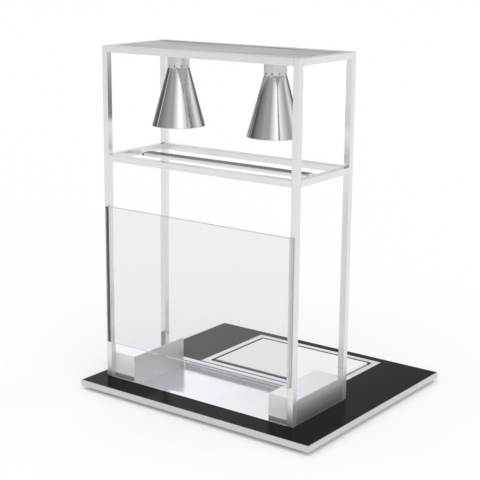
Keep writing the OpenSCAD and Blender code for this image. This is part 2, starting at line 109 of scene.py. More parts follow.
class StationColours(bpy.types.PropertyGroup):
    """Colours of the finishes."""

    steel: colour_property("Stainless steel", "#EAEAEB")
    tube: colour_property("Square tube", "#E6E6E7")
    rim: colour_property("Base band", "#D6D6D7")
    # Zinc grey, darkened as painted shade under the base band.
    pan: colour_property("Base pan", "#77787A")
    enamel: colour_property("White enamel", "#EDECE8")
    panel: colour_property("Brushed panel", "#CFCFD0")
    tray: colour_property("Polished sheet", "#D7D9DE")
    folded: colour_property("Folded sheet", "#DCDBDD")
    # Painted shade at the foot of the pedestals' fronts.
    seal: colour_property("Painted foot shade", "#7E7F81")
    shade: colour_property("Spun shade", "#CDCCD0")
    deck: colour_property("Deck glass", "#0D0C12")
    guard: colour_property("Guard glass", "#EFEFF0")
    edge: colour_property("Ground glass edge", "#BABDBD")
    bond: colour_property("Bonding tape", "#EEEEEF")
    board: colour_property("Carving board", "#EFEFEF")
    # Painted shade of the groove in front of the carving board.
    grip: colour_property("Painted groove shade", "#55565A")
    rubber: colour_property("Rubber", "#232324")
    plastic: colour_property("Black plastic", "#1A1A1B")
    # Painted reflection on the light bar's top face.
    bar: colour_property("Light bar top, painted reflection", "#5C5D60")
    # Painted shade in the recess round the carving board.
    plate: colour_property("Recess shade", "#4A4A4B")
    opal: colour_property("Opal diffuser", "#F2F2EE")
    ceramic: colour_property("Ceramic", "#E9E4D8")
    bulb: colour_property("Bulb face", "#EFE6DC")
    amber: colour_property("Pilot lens", "#D8641E")
    brass: colour_property("Brass", "#D2B35F")
    print: colour_property("Printed marks", "#2C2C2E")
    mark: colour_property("Switch marks", "#E6E6E2")


class StationSizes(bpy.types.PropertyGroup):
    """Sizes of the soft edges and small fittings."""

    tube_edge: size_property("Tube edge", "Radius of the square tube's edges", 0.8)
    sheet_edge: size_property("Sheet edge", "Radius of the folded and cut sheet's edges", 0.5)
    glass_edge: size_property("Glass edge", "Width of the ground edges of the glass", 0.7)
    board_edge: size_property("Board edge", "Radius of the carving board's edges", 1.5)
    # Painted shade of the groove in front of the carving board.
    grip_width: size_property("Groove shade width", "Width of the painted groove shade along the carving board's front edge", 8)
    # Painted shade at the foot of the pedestals' fronts.
    seal_height: size_property("Painted shade height", "Height of the painted shade at the foot of the pedestals' fronts", 8)
    grain: size_property("Grain", "Width of the steel's grain, drawn coarser than real so that it shows", 1.6)
    screw: size_property("Screw head", "Diameter of the screw heads", 7)


def node(tree, kind, inputs=None, **settings):
    """Adds a shader node. An input given as (node, output) is linked, and any other is set."""
    new = tree.nodes.new(f"ShaderNode{kind}")
    for key, value in settings.items():
        setattr(new, key, value)
    for key, value in (inputs or {}).items():
        if isinstance(value, tuple) and isinstance(value[0], bpy.types.Node):
            tree.links.new(value[0].outputs[value[1]], new.inputs[key])
        else:
            new.inputs[key].default_value = value
    return new


def new_material(name):
    """The material with this name and its empty node tree, or None for the tree where it was made before."""
    found = bpy.data.materials.get(name)
    if found:
        return found, None
    material = bpy.data.materials.new(name)
    material.use_nodes = True
    material.node_tree.nodes.clear()
    return material, material.node_tree


def rgba(colour):
    """A colour property as the four numbers that a socket takes."""
    return [*colour, 1]


# Most of a noise node's values lie in this range, which is then spread over the range that a finish needs.
NOISE = {"From Min": 0.3, "From Max": 0.7}
TINTED = {"data_type": "RGBA", "blend_type": "MULTIPLY"}
METAL = {"Metallic": 1}
BAND_WIDTH = 36 * MM  # width of the broad, cloudy bands in a steel's grain
WELD_REACH = 50 * MM  # height over which a post's polish turns to the satin of its dressed foot
WELD_SATIN = 0.2      # how much rougher that satin is


def grained_steel(name, colour, stretch, rough, depth, bands=0.05, glance=None, metallic=1.0, foot=None):
    """Metal drawn, rolled or brushed one way: fine streaks change its gloss along the grain.

    stretch gives the streaks' length on each axis in grain widths, rough the range of roughness, depth the
    streaks' depth in mm, bands the share of broad bands, glance the range of the tint at grazing angles, and
    foot the height at which a post's dressed foot ends.
    """
    material, tree = new_material(name)
    if tree is None:
        return material
    grain = bpy.context.scene.station_sizes.grain
    place = node(tree, "TexCoord")
    fine = node(tree, "Mapping", {"Vector": (place, "Object"), "Scale": [1 / (grain * s) for s in stretch]})
    streaks = node(tree, "TexNoise", {"Vector": (fine, 0), "Scale": 1, "Detail": 3, "Roughness": 0.6})
    wide = node(tree, "Mapping", {
        "Vector": (place, "Object"), "Scale": [1 / (BAND_WIDTH * s) for s in stretch],
    })
    cloud = node(tree, "TexNoise", {"Vector": (wide, 0), "Scale": 1, "Detail": 2})
    mixed = node(tree, "Mix", {0: 3 * bands, 2: (streaks, "Fac"), 3: (cloud, "Fac")})
    gloss = node(tree, "MapRange", {"Value": (mixed, 0), **NOISE, "To Min": rough[0], "To Max": rough[1]})
    if foot:
        parts = node(tree, "SeparateXYZ", {"Vector": (place, "Object")})
        dressed = node(tree, "MapRange", {
            "Value": (parts, "Z"), "From Min": foot - WELD_REACH, "From Max": foot,
            "To Min": WELD_SATIN, "To Max": 0,
        })
        gloss = node(tree, "Math", {0: (gloss, 0), 1: (dressed, 0)}, operation="ADD")
    shade = node(tree, "MapRange", {"Value": (cloud, "Fac"), **NOISE, "To Min": 1 - bands, "To Max": 1})
    tone = node(tree, "Mix", {0: 1, 6: rgba(colour), 7: (shade, 0)}, **TINTED)
    bump = node(tree, "Bump", {"Strength": 0.2, "Distance": depth * MM, "Height": (streaks, "Fac")})
    surface = {"Base Color": (tone, 2), "Metallic": metallic, "Roughness": (gloss, 0), "Normal": (bump, 0)}
    if glance:
        tint = node(tree, "MapRange", {
            "Value": (cloud, "Fac"), **NOISE, "To Min": glance[0], "To Max": glance[1],
        })
        surface["Specular Tint"] = (tint, 0)
    shader = node(tree, "BsdfPrincipled", surface)
    node(tree, "OutputMaterial", {"Surface": (shader, 0)})
    return material


def polished(name, colour, haze, detail, rough, more):
    """Polished metal or glass: a trace of haze from polishing or wiping changes its gloss here and there.

    haze is the haze's width in mm, and more holds what else the shader is given.
    """
    material, tree = new_material(name)
    if tree is None:
        return material
    place = node(tree, "TexCoord")
    marks = node(tree, "TexNoise", {
        "Vector": (place, "Object"), "Scale": 1 / (haze * MM), "Detail": detail,
    })
    gloss = node(tree, "MapRange", {
        "Value": (marks, "Fac"), **NOISE, "To Min": rough[0], "To Max": rough[1],
    })
    shader = node(tree, "BsdfPrincipled", {"Base Color": rgba(colour), "Roughness": (gloss, 0), **more})
    node(tree, "OutputMaterial", {"Surface": (shader, 0)})
    return material


def spun_steel(name, colour):
    """Sheet steel spun on a lathe: the tool's rings are drawn 1.2 mm apart, coarser than real, to show."""
    material, tree = new_material(name)
    if tree is None:
        return material
    place = node(tree, "TexCoord")
    parts = node(tree, "SeparateXYZ", {"Vector": (place, "Object")})
    rings = node(tree, "TexNoise", {
        "W": (parts, "Z"), "Scale": 1 / (1.2 * MM), "Detail": 2,
    }, noise_dimensions="1D")
    gloss = node(tree, "MapRange", {"Value": (rings, "Fac"), **NOISE, "To Min": 0.12, "To Max": 0.16})
    bump = node(tree, "Bump", {"Strength": 0.1, "Distance": 0.02 * MM, "Height": (rings, "Fac")})
    round_axis = node(tree, "Tangent", direction_type="RADIAL", axis="Z")
    shader = node(tree, "BsdfPrincipled", {
        "Base Color": rgba(colour), "Metallic": 1, "Roughness": (gloss, 0), "Normal": (bump, 0),
        "Anisotropic": 0.5, "Anisotropic Rotation": 0.25, "Tangent": (round_axis, 0),
    })
    node(tree, "OutputMaterial", {"Surface": (shader, 0)})
    return material


def moulded(name, colour, rough, texture, depth, ior=1.5):
    """Plastic, rubber, ceramic or paint: one colour with a fine skin, its texture and depth given in mm.

    The finer skins are drawn coarser than real, so that they show close up.
    """
    material, tree = new_material(name)
    if tree is None:
        return material
    place = node(tree, "TexCoord")
    skin = node(tree, "TexNoise", {"Vector": (place, "Object"), "Scale": 1 / (texture * MM), "Detail": 3})
    gloss = node(tree, "MapRange", {
        "Value": (skin, "Fac"), **NOISE, "To Min": rough - 0.05, "To Max": rough + 0.05,
    })
    shade = node(tree, "MapRange", {"Value": (skin, "Fac"), **NOISE, "To Min": 0.97, "To Max": 1})
    tone = node(tree, "Mix", {0: 1, 6: rgba(colour), 7: (shade, 0)}, **TINTED)
    bump = node(tree, "Bump", {"Strength": 0.3, "Distance": depth * MM, "Height": (skin, "Fac")})
    shader = node(tree, "BsdfPrincipled", {
        "Base Color": (tone, 2), "Roughness": (gloss, 0), "Normal": (bump, 0), "IOR": ior,
    })
    node(tree, "OutputMaterial", {"Surface": (shader, 0)})
    return material


def floor_paper(name):
    """White studio paper: part of its light is its own, so that the shadow on it stays soft."""
    material, tree = new_material(name)
    if tree is None:
        return material
    paper = node(tree, "BsdfDiffuse", {"Color": rgba(linear("#F1F1F1"))})
    glow = node(tree, "Emission", {"Strength": 1})
    both = node(tree, "MixShader", {"Fac": 0.15, 1: (paper, 0), 2: (glow, 0)})
    node(tree, "OutputMaterial", {"Surface": (both, 0)})
    return material


# Brightness of the studio round the object: degrees from the camera, positive to its right.
STUDIO_RING = [
    (-180, 1.33), (-172, 1.3), (-163, 0.95), (-150, 0.5), (-130, 0.16), (-110, 0.11), (-90, 0.3), (-70, 0.4),
    (-50, 0.56), (-30, 0.52), (-10, 1.15), (8, 1.9), (28, 1.2), (50, 0.7), (70, 0.5), (92, 1.2), (108, 0.95),
    (126, 0.2), (150, 0.16), (167, 0.75), (174, 1.08), (180, 1.33),
]
CAMERA_TURN = -51.2  # degrees from +X to the ring's zero, which faces the camera, seen from above

# The camera that was fitted to the photograph: metres, radians, a lens in mm and a shift in frame widths.
CAMERA_PLACE = (2.1710, -3.1161, 1.4161)
CAMERA_TILT = (math.pi / 2 - 0.23455, 0, 0.66722)
CAMERA_LENS = 92.66
CAMERA_SHIFT = (0.0994, -0.0159)

FLOOR_SIZE = 160  # metres, so that no view shows its edge
LIGHT_STRENGTH = 1.17
LIGHT_SPREAD = math.radians(70)  # as wide as a large soft box overhead
LIGHT_LEAN = math.radians(20)


def studio_world():
    """Soft boxes and dark flags in a ring, which metal reflects, and plain white for the camera and glass."""
    world = bpy.data.worlds.new("Studio")
    bpy.context.scene.world = world
    world.use_nodes = True
    tree = world.node_tree
    tree.nodes.clear()
    way = node(tree, "TexCoord")
    parts = node(tree, "SeparateXYZ", {"Vector": (way, "Generated")})
    turn = node(tree, "Math", {0: (parts, "Y"), 1: (parts, "X")}, operation="ARCTAN2")
    share = node(tree, "MapRange", {
        "Value": (turn, 0), "From Min": -math.pi, "From Max": math.pi, "To Min": 0, "To Max": 1,
    })
    offset = node(tree, "Math", {0: (share, 0), 1: -CAMERA_TURN / 360}, operation="ADD")
    wrapped = node(tree, "Math", {0: (offset, 0)}, operation="FRACT")
    ring = node(tree, "ValToRGB", {"Fac": (wrapped, 0)})
    stops = ring.color_ramp.elements
    while len(stops) < len(STUDIO_RING):
        stops.new(0.5)
    for stop, (angle, level) in zip(stops, STUDIO_RING):
        stop.position = (angle + 180) / 360
        stop.color = (level, level, level, 1)
    # Opposite the camera a low grey backdrop stands before the ring, which the deck reflects.
    from_camera = node(tree, "Math", {0: (wrapped, 0), 1: 0.5}, operation="PINGPONG")
    behind = node(tree, "MapRange", {
        "Value": (from_camera, 0), "From Min": 0.03, "From Max": 0.12, "To Min": 1, "To Max": 0,
    })
    low = node(tree, "MapRange", {
        "Value": (parts, "Z"), "From Min": 0.14, "From Max": 0.3, "To Min": 0.6, "To Max": 0,
    })
    grey = node(tree, "Math", {0: (behind, 0), 1: (low, 0)}, operation="MULTIPLY")
    backed = node(tree, "Mix", {0: (grey, 0), 6: (ring, 0), 7: [0.1, 0.1, 0.1, 1]}, data_type="RGBA")
    # Higher up, the ring gives way to an even dome.
    rise = node(tree, "MapRange", {
        "Value": (parts, "Z"), "From Min": 0.45, "From Max": 0.8, "To Min": 0, "To Max": 1,
    })
    dome = node(tree, "Mix", {0: (rise, 0), 6: (backed, 2), 7: [0.85, 0.85, 0.85, 1]}, data_type="RGBA")
    path = node(tree, "LightPath")
    plain = node(tree, "Math", {
        0: (path, "Is Camera Ray"), 1: (path, "Is Transmission Ray"),
    }, operation="MAXIMUM")
    shown = node(tree, "Mix", {0: (plain, 0), 6: (dome, 2), 7: [1, 1, 1, 1]}, data_type="RGBA")
    light = node(tree, "Background", {"Color": (shown, 2), "Strength": 1})
    node(tree, "OutputWorld", {"Surface": (light, 0)})


class StationStage(bpy.types.Operator):
    """Sets the floor, the light, the white surroundings and the photograph's camera"""

    bl_idname = "station.stage"
    bl_label = "Studio and camera"

    def execute(self, context):
        scene = context.scene
        scene.view_settings.view_transform = "Standard"
        studio_world()
        clear_selection()
        bpy.ops.mesh.primitive_plane_add(size=FLOOR_SIZE, location=(0, 0, CAD_BOX[0].z))
        floor = context.object
        floor.name = "studio_floor"
        floor.data.materials.append(floor_paper("White studio paper"))
        lamp = bpy.data.lights.new("overhead_soft_light", "SUN")
        lamp.energy = LIGHT_STRENGTH
        lamp.angle = LIGHT_SPREAD
        overhead = bpy.data.objects.new("overhead_soft_light", lamp)
        overhead.rotation_euler.x = LIGHT_LEAN
        scene.collection.objects.link(overhead)
        lens = bpy.data.cameras.new("photo_camera")
        lens.sensor_width = 36
        lens.lens = CAMERA_LENS
        lens.shift_x, lens.shift_y = CAMERA_SHIFT
        lens.clip_end = 300
        camera = bpy.data.objects.new("photo_camera", lens)
        camera.location = CAMERA_PLACE
        camera.rotation_euler = CAMERA_TILT
        scene.collection.objects.link(camera)
        scene.camera = camera
        return {"FINISHED"}


def clear_selection():
    """Leaves edit mode and deselects everything."""
    if bpy.context.object and bpy.context.object.mode != "OBJECT":
        bpy.ops.object.mode_set(mode="OBJECT")
    bpy.ops.object.select_all(action="DESELECT")


def choose(*objs):
    """Selects these objects alone and makes the first one active."""
    clear_selection()
    for obj in objs:
        obj.select_set(True)
    bpy.context.view_layer.objects.active = objs[0]


def copy_node(name, suffix):
    """A copy of a CAD node as one closed mesh, with its flat triangles joined to whole faces."""
    obj = bpy.data.objects.new(f"{name}_{suffix}", NODES[name].data.copy())
    bpy.context.scene.collection.objects.link(obj)
    obj.data.materials.clear()
    choose(obj)
    bpy.ops.object.mode_set(mode="EDIT")
    bpy.ops.mesh.select_all(action="SELECT")
    bpy.ops.mesh.remove_doubles(threshold=0.005 * MM)
    bpy.ops.mesh.dissolve_limited(angle_limit=math.radians(0.5))
    bpy.ops.object.mode_set(mode="OBJECT")
    return obj


def select_none(obj, kind):
    """Makes edit mode work on edges or faces, with none of this object's selected."""
    choose(obj)
    bpy.ops.object.mode_set(mode="EDIT")
    bpy.ops.mesh.select_mode(type=kind)
    bpy.ops.mesh.select_all(action="DESELECT")
    bpy.ops.object.mode_set(mode="OBJECT")


def bevel_edges(obj, test, width, segments=2):
    """Rounds the edges whose two ends pass the test."""
    select_none(obj, "EDGE")
    points = obj.data.vertices
    for edge in obj.data.edges:
        edge.select = test(points[edge.vertices[0]].co, points[edge.vertices[1]].co)
    bpy.ops.object.mode_set(mode="EDIT")
    bpy.ops.mesh.bevel(offset=width, segments=segments, affect="EDGES", clamp_overlap=True)
    bpy.ops.object.mode_set(mode="OBJECT")


def cut_faces(obj, test, axis, level):
    """Cuts the faces that pass the test at a level of one axis, which leaves the shape as it is."""
    select_none(obj, "FACE")
    for face in obj.data.polygons:
        face.select = test(face)
    across = [float(i == axis) for i in range(3)]
    bpy.ops.object.mode_set(mode="EDIT")
    bpy.ops.mesh.bisect(plane_co=[level * part for part in across], plane_no=across)
    bpy.ops.object.mode_set(mode="OBJECT")


def near(a, b):
    """Whether two lengths are the same, to a hundredth of a millimetre."""
    return abs(a - b) < 0.01 * MM


def at_height(level):
    """A test for edges that lie at one height."""
    return lambda a, b: near(a.z, level) and near(b.z, level)


def smooth(obj):
    """Shades the curved faces smooth, keeps the sharp edges and lets the large faces stay flat."""
    choose(obj)
    bpy.ops.object.shade_smooth_by_angle(angle=math.radians(35))
    weigh = obj.modifiers.new("flat_faces", "WEIGHTED_NORMAL")
    weigh.keep_sharp = True
    weigh.weight = 100
    bpy.ops.object.modifier_apply(modifier=weigh.name)


def even_triangles(obj):
    """Splits the faces to triangles, and splits again where that left slivers."""
    choose(obj)
    bpy.ops.object.mode_set(mode="EDIT")
    bpy.ops.mesh.select_all(action="SELECT")
    bpy.ops.mesh.quads_convert_to_tris(quad_method="BEAUTY", ngon_method="BEAUTY")
    for _ in range(3):
        bpy.ops.mesh.dissolve_degenerate(threshold=0.01 * MM)
        bpy.ops.mesh.quads_convert_to_tris(quad_method="BEAUTY", ngon_method="BEAUTY")
    bpy.ops.object.mode_set(mode="OBJECT")


def finish_of(name):
    """The finish that a CAD node was given."""
    return NODES[name].data.materials[0]


def paint(material, *names):
    """Gives CAD nodes a finish."""
    for name in names:
        NODES[name].data.materials.clear()
        NODES[name].data.materials.append(material)


def refinish(obj, material, test):
    """Gives the faces of a piece that pass the test another finish."""
    obj.data.materials.append(material)
    for face in obj.data.polygons:
        if test(face):
            face.material_index = len(obj.data.materials) - 1


def settle(obj, name):
    """Gives a piece the finish and body of a CAD node, and lets it stand for that node, which it hides."""
    obj.data.materials.append(finish_of(name))
    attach(obj, BODY_OF[name])
    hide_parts(name)


def turned(name, profile, centre, steps):
    """A turned piece: a profile of (radius, height) points is drawn and spun round an upright axis."""
    clear_selection()
    bpy.ops.mesh.primitive_plane_add(size=MM)
    obj = bpy.context.object
    obj.name = name
    bpy.ops.object.mode_set(mode="EDIT")
    bpy.ops.mesh.select_mode(type="VERT")
    bpy.ops.mesh.select_all(action="SELECT")
    bpy.ops.mesh.merge(type="CENTER")
    radius, height = profile[0]
    bpy.ops.transform.translate(value=(centre[0] + radius, centre[1], height))
    for point in profile[1:]:
        step = (point[0] - radius, 0, point[1] - height)
        bpy.ops.mesh.extrude_vertices_move(TRANSFORM_OT_translate={"value": step})
        radius, height = point
    bpy.ops.mesh.select_all(action="SELECT")
    bpy.ops.mesh.spin(steps=steps, angle=2 * math.pi, center=(*centre, 0), axis=UP)
    bpy.ops.mesh.select_all(action="SELECT")
    bpy.ops.mesh.remove_doubles(threshold=0.01 * MM)
    bpy.ops.mesh.normals_make_consistent(inside=False)
    bpy.ops.object.mode_set(mode="OBJECT")
    smooth(obj)
    return obj


def copy_piece(obj, name, move, way=UP):
    """A copy of a piece with its own mesh, its axis turned to a direction, moved and left at the origin."""
    new = bpy.data.objects.new(name, obj.data.copy())
    bpy.context.scene.collection.objects.link(new)
    new.data.materials.clear()
    new.rotation_euler = Vector(UP).rotation_difference(Vector(way)).to_euler()
    new.location = move
    choose(new)
    bpy.ops.object.transform_apply(location=True, rotation=True, scale=True)
    return new


def join_as(name, pieces, material, body):
    """Joins small pieces to one piece that rides on a body."""
    choose(*pieces)
    if len(pieces) > 1:
        bpy.ops.object.join()
    piece = bpy.context.object
    piece.name = name
    piece.data.materials.clear()
    piece.data.materials.append(material)
    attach(piece, body)


class StationFinishes(bpy.types.Operator):
    """Gives each CAD node its finish"""

    bl_idname = "station.finishes"
    bl_label = "Finishes"

    def execute(self, context):
        colours = context.scene.station_colours
        # Polished along the tube: mirror images drawn soft, and satin where the posts' welds are dressed.
        tubes = [
            ("upright grain", (1, 1, 60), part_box("pedestal_left")[1].z, POSTS),
            ("grain along X", (60, 1, 1), None, [*LONG_RAILS, "bar_brackets"]),
            ("grain along Y", (1, 60, 1), None, [*SHORT_RAILS, "lamp_channel_left", "lamp_channel_right"]),
        ]
        for way, stretch, foot, names in tubes:
            paint(grained_steel(
                f"Bright stainless, {way}", colours.tube, stretch, (0.22, 0.29), 0.02, foot=foot
            ), *names)
        # Hot-dip zinc: dull grey with cloudy patches, drawn darker than zinc as painted shade, so the line
        # under the base band reads dark.
        paint(grained_steel(
            "Galvanised steel pan", colours.pan, (4, 4, 4), (0.4, 0.6), 0.02, 0.3
        ), "bottom_pan")
        # Fine-ground: an even pale sheen, with faint streaks along the band and round the collars.
        paint(grained_steel(
            "Satin stainless, fine", colours.rim, (60, 60, 1), (0.35, 0.45), 0.02
        ), "base_rim", "collar_left", "collar_right")
        # Polished before folding: no grain to speak of, only a soft fall from light to dark.
        paint(grained_steel(
            "Polished stainless, folded sheet", colours.folded, (1, 40, 1), (0.37, 0.41), 0.001
        ), *PEDESTALS)
        # Brushed by hand: long uneven streaks that catch the light in broad bands.
        paint(grained_steel(
            "Brushed stainless sheet", colours.panel, (12, 1.5, 1), (0.28, 0.38), 0.03, 0.1, (0.42, 0.88)
        ), "top_panel")
        # Polished and pressed: mirror images that blur with distance.
        paint(polished(
            "Polished stainless, pressed sheet", colours.tray, 60, 4, (0.15, 0.2), METAL
        ), "well_tray", "board_frame", "heat_spindle")
        # Spun and polished: the fine rings draw each light out to a band along the cone.
        paint(spun_steel("Spun stainless", colours.shade), "shade_left", "shade_right")
        # Painted on its back: deep black under a weak, slightly soft reflection.
        paint(polished(
            "Black toughened glass", colours.deck, 90, 3, (0.17, 0.23), {"IOR": 1.09}
        ), "deck_glass")
        # Polished float glass: clear, with a faint grey tint that shows at the edges.
        paint(polished(
            "Clear toughened glass", colours.guard, 150, 2, (0, 0.02), {"IOR": 1.5, "Transmission Weight": 1}
        ), "guard_glass")
        # Foamed tape: a pale, dull strip.
        paint(moulded("Acrylic bonding tape", colours.bond, 0.5, 2, 0.01), "guard_bonds")
        # Moulded rubber: dull black, a little dusty.
        paint(moulded("Black rubber", colours.rubber, 0.7, 0.6, 0.05), "feet", "board_pads")
        # Spark-eroded mould: a fine matt skin that breaks up the highlights on the black.
        controls = ["thermostat", "heat_knob", "switch_lamps", "switch_heat", "rocker_lamps", "rocker_heat"]
        paint(moulded("Moulded black ABS", colours.plastic, 0.4, 0.8, 0.03), *controls, "power_inlet")
        # Planed sheet: milky white with a soft gloss.
        paint(moulded("White polyethylene", colours.board, 0.35, 1.5, 0.02), "carving_board")
        # Extruded and anodised: pale matt silver with draw lines along the bar.
        paint(grained_steel(
            "Silver anodised aluminium", colours.steel, (60, 1, 1), (0.25, 0.35), 0.02
        ), "bar_housing", "bar_end_caps")
        # Cast sheet: milky, with an even gloss.
        paint(moulded("Opal acrylic", colours.opal, 0.3, 0.8, 0.002), "bar_diffuser")
        # Solder mask: plain white and half dull.
        paint(moulded("Strip board", colours.opal, 0.5, 2, 0.02), "bar_led_strip")
        # Fired glaze: cream with broad, soft highlights.
        paint(moulded(
            "Glazed ceramic", colours.ceramic, 0.25, 3, 0.01
        ), "holder_left", "holder_right", "terminal_block")
        # Etched inside: warm white, without a mirror image.
        paint(moulded("Frosted bulb glass", colours.bulb, 0.35, 1, 0.01), "bulb_left", "bulb_right")
        # Moulded clear plastic: a strong orange with a small, sharp highlight.
        paint(moulded("Amber lens", colours.amber, 0.2, 2, 0.01), "pilot_light")
        # Drawn strip: warm yellow with lines along the blades.
        paint(grained_steel("Drawn brass", colours.brass, (8, 1, 1), (0.25, 0.35), 0.01), "inlet_blades")
        # Pressed on cloth: dull orange with a woven unevenness.
        paint(moulded("Silicone heating mat", colours.amber, 0.6, 1.5, 0.1), "well_heater", "board_heater")
        # Felted fibre: cream, rough and without gloss.
        paint(moulded(
            "Mineral fibre sheet", colours.ceramic, 0.9, 1.5, 0.2
        ), "well_insulation", "board_insulation")
        return {"FINISHED"}


class StationTubes(bpy.types.Operator):
    """Gives the posts and rails of the tower the soft edges of drawn square tube"""

    bl_idname = "station.tubes"
    bl_label = "Posts and rails"

    def execute(self, context):
        for axis, names in ((2, POSTS), (0, LONG_RAILS), (1, SHORT_RAILS)):
            sides = [i for i in range(3) if i != axis]
            for name in names:
                low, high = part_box(name)

                def outer_long_edge(a, b):
                    return all(
                        near(a[i], b[i]) and (near(a[i], low[i]) or near(a[i], high[i])) for i in sides
                    )

                tube = copy_node(name, "tube")
                bevel_edges(tube, outer_long_edge, context.scene.station_sizes.tube_edge)
                smooth(tube)
                settle(tube, name)
        return {"FINISHED"}


class StationSheetwork(bpy.types.Operator):
    """Rounds the folds and pressed corners of the pedestals, trays, band and top panel"""

    bl_idname = "station.sheetwork"
    bl_label = "Sheet steel"

    def execute(self, context):
        sizes = context.scene.station_sizes
        colours = context.scene.station_colours
        for name in PEDESTALS:
            self.pedestal(name, sizes, colours)
        # Painted shade: a dark grey, dull coat on the walls and floor of the board's recess, which darkens
        # the groove round the board.
        plate = moulded("Dark recess coat, painted groove shade", colours.plate, 0.5, 1.2, 0.03)
        self.pressing("well_tray", sizes.sheet_edge, finish_of("pedestal_left"), False)
        self.pressing("board_frame", sizes.sheet_edge, plate, True)
        panel = copy_node("top_panel", "sheet")
        bevel_edges(panel, at_height(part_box("top_panel")[1].z), sizes.sheet_edge)
        smooth(panel)
        settle(panel, "top_panel")
        # Fired enamel: warm white with a soft gloss, it throws light back on the shades.
        enamel = moulded("White heat-proof enamel", colours.enamel, 0.4, 1, 0.005)
        refinish(panel, enamel, lambda face: face.normal.z < -FACING)
        low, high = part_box("base_rim")
        band = copy_node("base_rim", "band")

        def band_edge(a, b):
            return any(near(a[i], side[i]) and near(b[i], side[i]) for i in (0, 1) for side in (low, high))

        bevel_edges(band, band_edge, sizes.sheet_edge)
        smooth(band)
        settle(band, "base_rim")
        return {"FINISHED"}

    def pedestal(self, name, sizes, colours):
        """Rounds a pedestal's folds, gives its front and its top their own finish, and paints a grey shade at
        the foot of its front.
        """
        low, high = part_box(name)
        # Top of the painted shade at the foot of the front.
        foot_shade_top = low.z + sizes.seal_height

        def outer_fold(a, b):
            faces = [
                sum(near(a[i], side[i]) and near(b[i], side[i]) for side in (low, high)) for i in range(3)
            ]
            return sum(faces) == 2 and not (near(a.z, low.z) and near(b.z, low.z))

        def on_front(face):
            return face.normal.y < -FACING and near(face.center.y, low.y)

        box = copy_node(name, "housing")
        bevel_edges(box, outer_fold, 2 * sizes.sheet_edge, 3)
        cut_faces(box, on_front, 2, foot_shade_top)
        smooth(box)
        settle(box, name)
        # Ground matt: pale, with hardly a mirror image, so most of its light is scattered.
        front = grained_steel(
            "Satin stainless, pedestal fronts", colours.steel, (40, 1, 1), (0.45, 0.55), 0.02, metallic=0.1
        )
        refinish(box, front, lambda face: abs(face.normal.y) > FACING)
        refinish(box, finish_of("well_tray"), lambda face: face.normal.z > FACING)
        # Painted shade: an even grey strip with a weak gloss, the dark band at the foot of the front.
        seal = moulded("Grey foot strip, painted shade", colours.seal, 0.5, 1, 0.01)
        refinish(box, seal, lambda face: on_front(face) and face.center.z < foot_shade_top)

    def pressing(self, name, edge, lining_and_shade, shaded_floor):
        """Rounds a pressed sheet's floor and rim and gives its walls, and its floor where asked, the finish
        given.
        """
        sheet = 1.5 * MM
        low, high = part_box(name)
        tray = copy_node(name, "pressing")
        bevel_edges(tray, at_height(low.z + sheet), 2.4 * edge, 3)
        bevel_edges(tray, at_height(high.z), 0.6 * edge, 2)
        smooth(tray)
        settle(tray, name)

        def inside(face):
            wall = abs(face.normal.z) < 0.5 and face.center.z < high.z - 2 * MM
            return wall or (shaded_floor and face.center.z < high.z - 3 * MM)

        # In the board's recess the given finish is a painted shade.
        refinish(tray, lining_and_shade, inside)


class StationGlass(bpy.types.Operator):
    """Grinds the edges of the deck and of the guard glass, and trims the tape that bonds the guard"""

    bl_idname = "station.glass"
    bl_label = "Glass"

    def execute(self, context):
        edge = context.scene.station_sizes.glass_edge
        colours = context.scene.station_colours
        deck = copy_node("deck_glass", "pane")
        bevel_edges(deck, at_height(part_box("deck_glass")[1].z), edge, 1)
        settle(deck, "deck_glass")
        guard = copy_node("guard_glass", "pane")
        bevel_edges(guard, lambda a, b: True, edge, 1)
        settle(guard, "guard_glass")
        # Ground with fine grit: a pale grey line that scatters the light.
        ground = moulded("Ground glass edge", colours.edge, 0.5, 0.8, 0.02)
        refinish(guard, ground, lambda face: abs(face.normal.y) <= FACING and face.normal.z >= -0.5)
        guard.visible_shadow = False
        # The tape is drawn a tenth thinner than its gap, so that no two faces lie in one plane.
        tape = copy_node("guard_bonds", "tape")
        bpy.ops.object.mode_set(mode="EDIT")
        bpy.ops.mesh.select_all(action="SELECT")
        bpy.ops.transform.resize(value=(1, 0.9, 1))
        bpy.ops.object.mode_set(mode="OBJECT")
        bevel_edges(tape, lambda a, b: near(a.y, b.y), 0.1 * MM, 1)
        settle(tape, "guard_bonds")
        # Painted shade: the tape behind the left edge of the glass is dull black, for the dark line along
        # that edge.
        black = moulded("Black tape, painted edge shade", colours.plastic, 0.5, 2, 0.01)
        left_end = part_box("guard_glass")[0].x + 20 * MM
        refinish(tape, black, lambda face: face.center.x < left_end)
        return {"FINISHED"}


class StationBoard(bpy.types.Operator):
    """Rounds the edges of the carving board and paints a grey shade along its front edge"""

    bl_idname = "station.board"
    bl_label = "Carving board"

    def execute(self, context):
        sizes = context.scene.station_sizes
        low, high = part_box("carving_board")
        # End of the painted shade along the board's front edge.
        groove_shade_end = low.y + sizes.grip_width
        board = copy_node("carving_board", "slab")

        def rim(a, b):
            return any(near(a.z, level) and near(b.z, level) for level in (low.z, high.z))

        bevel_edges(board, rim, sizes.board_edge, 3)
        cut_faces(board, lambda face: face.normal.z > 0.99, 1, groove_shade_end)
        smooth(board)
        settle(board, "carving_board")
        # Painted shade: dark grey and dull along the front edge, so the shadowed groove before the board
        # reads as a dark line.
        grip = moulded("Grey front edge, painted groove shade", context.scene.station_colours.grip, 0.6, 1, 0.02)
        refinish(board, grip, lambda face: face.center.y < groove_shade_end)
        return {"FINISHED"}


